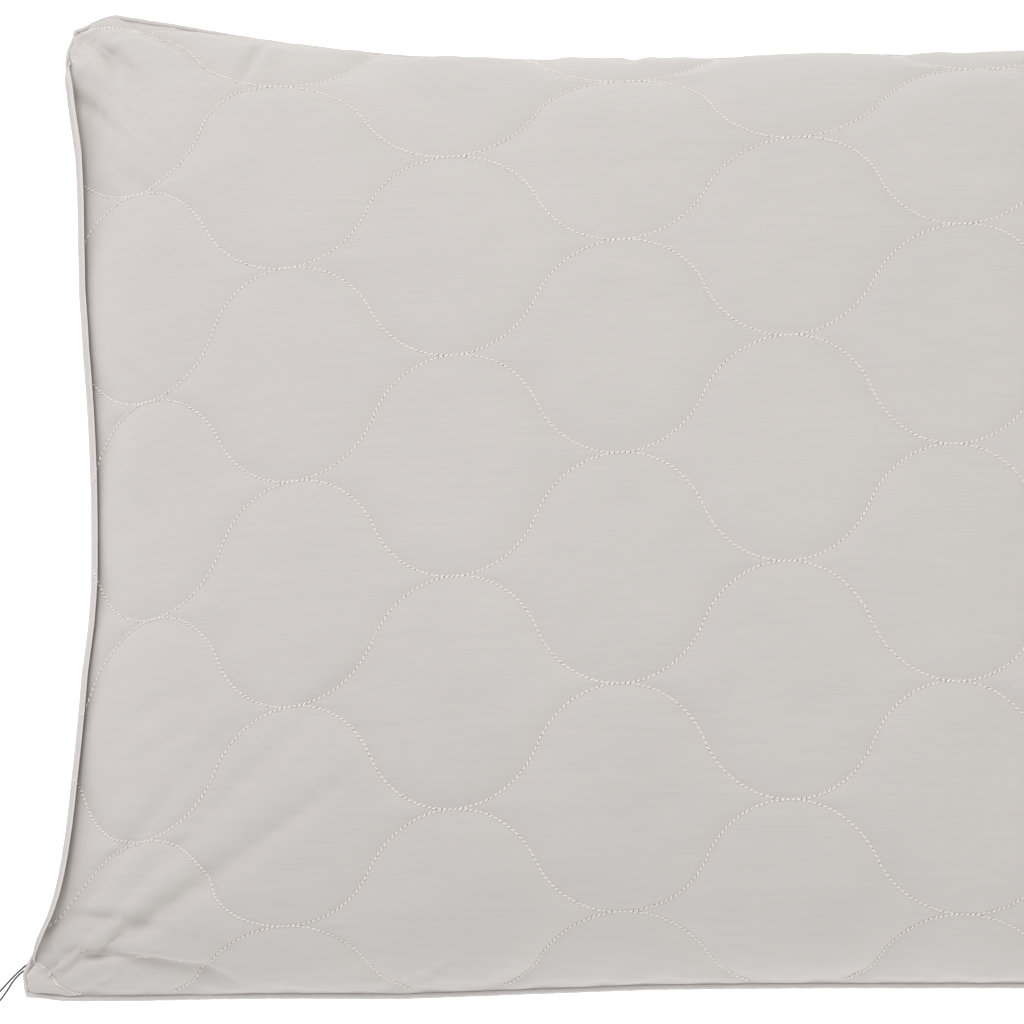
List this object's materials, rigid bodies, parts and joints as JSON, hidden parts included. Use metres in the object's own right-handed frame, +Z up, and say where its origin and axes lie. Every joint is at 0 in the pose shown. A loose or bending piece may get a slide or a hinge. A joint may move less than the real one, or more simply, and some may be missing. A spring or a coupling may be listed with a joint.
{
  "type": "bed pillow",
  "caption": "Rectangular quilted bed pillow with a piped seam, a zip along one short edge and wool batts inside.",
  "frame": {"origin": "bottom centre of the pillow without its hang tag, on the surface it rests on", "axes": "+X along the pillow's length, away from the zipped edge; +Y across its width; +Z up, out of the crowned front face"},
  "size_m": [0.7578, 0.5096, 0.1423],
  "materials": {
    "cover_cotton": "cream cotton sateen with a faint sheen",
    "wadding": "lofty white wadding",
    "lining_cloth": "thin plain lining cloth",
    "quilting_thread": "cream spun thread",
    "piping_cotton": "cream cotton piping",
    "piping_filler": "twisted cotton filler cord",
    "label_tape": "blank woven label tape",
    "zipper_tape": "woven zip tape",
    "zipper_coil": "nylon coil",
    "zipper_metal": "cream enamel on die-cast metal",
    "ticking": "plain cotton ticking",
    "wool": "carded wool batt",
    "tag_string": "black waxed string",
    "tag_card": "blank uncoated card"
  },
  "bodies": {
    "pillow": {"front_fabric": "cover_cotton", "front_wadding": "wadding", "front_lining": "lining_cloth", "front_quilting_thread": "quilting_thread", "back_fabric": "cover_cotton", "back_wadding": "wadding", "back_lining": "lining_cloth", "back_quilting_thread": "quilting_thread", "piping_sleeve": "piping_cotton", "piping_cord": "piping_filler", "care_label": "label_tape", "zipper_tape_front": "zipper_tape", "zipper_coil_front": "zipper_coil", "zipper_tape_back": "zipper_tape", "zipper_coil_back": "zipper_coil", "zipper_top_stops": "zipper_metal", "zipper_bottom_stop": "zipper_metal", "insert_ticking_front": "ticking", "insert_ticking_back": "ticking", "wool_batt_1": "wool", "wool_batt_2": "wool", "wool_batt_3": "wool", "wool_batt_4": "wool", "wool_batt_5": "wool", "tag_string": "tag_string", "hang_tag": "tag_card"},
    "slider": {"zipper_slider": "zipper_metal"},
    "pull_tab": {"zipper_pull_tab": "zipper_metal"}
  },
  "joints": [
    {"name": "slider_run", "type": "hinge", "parent": "pillow", "child": "slider", "pos_m": [-1.54258, 0, 0.0644], "axis": [0, 0, 1], "range_deg": [0, 17.68]},
    {"name": "tab_swing", "type": "hinge", "parent": "slider", "child": "pull_tab", "pos_m": [-0.31348, -0.19118, 0.0644], "axis": [0, 0, -1], "range_deg": [0, 175]}
  ]
}
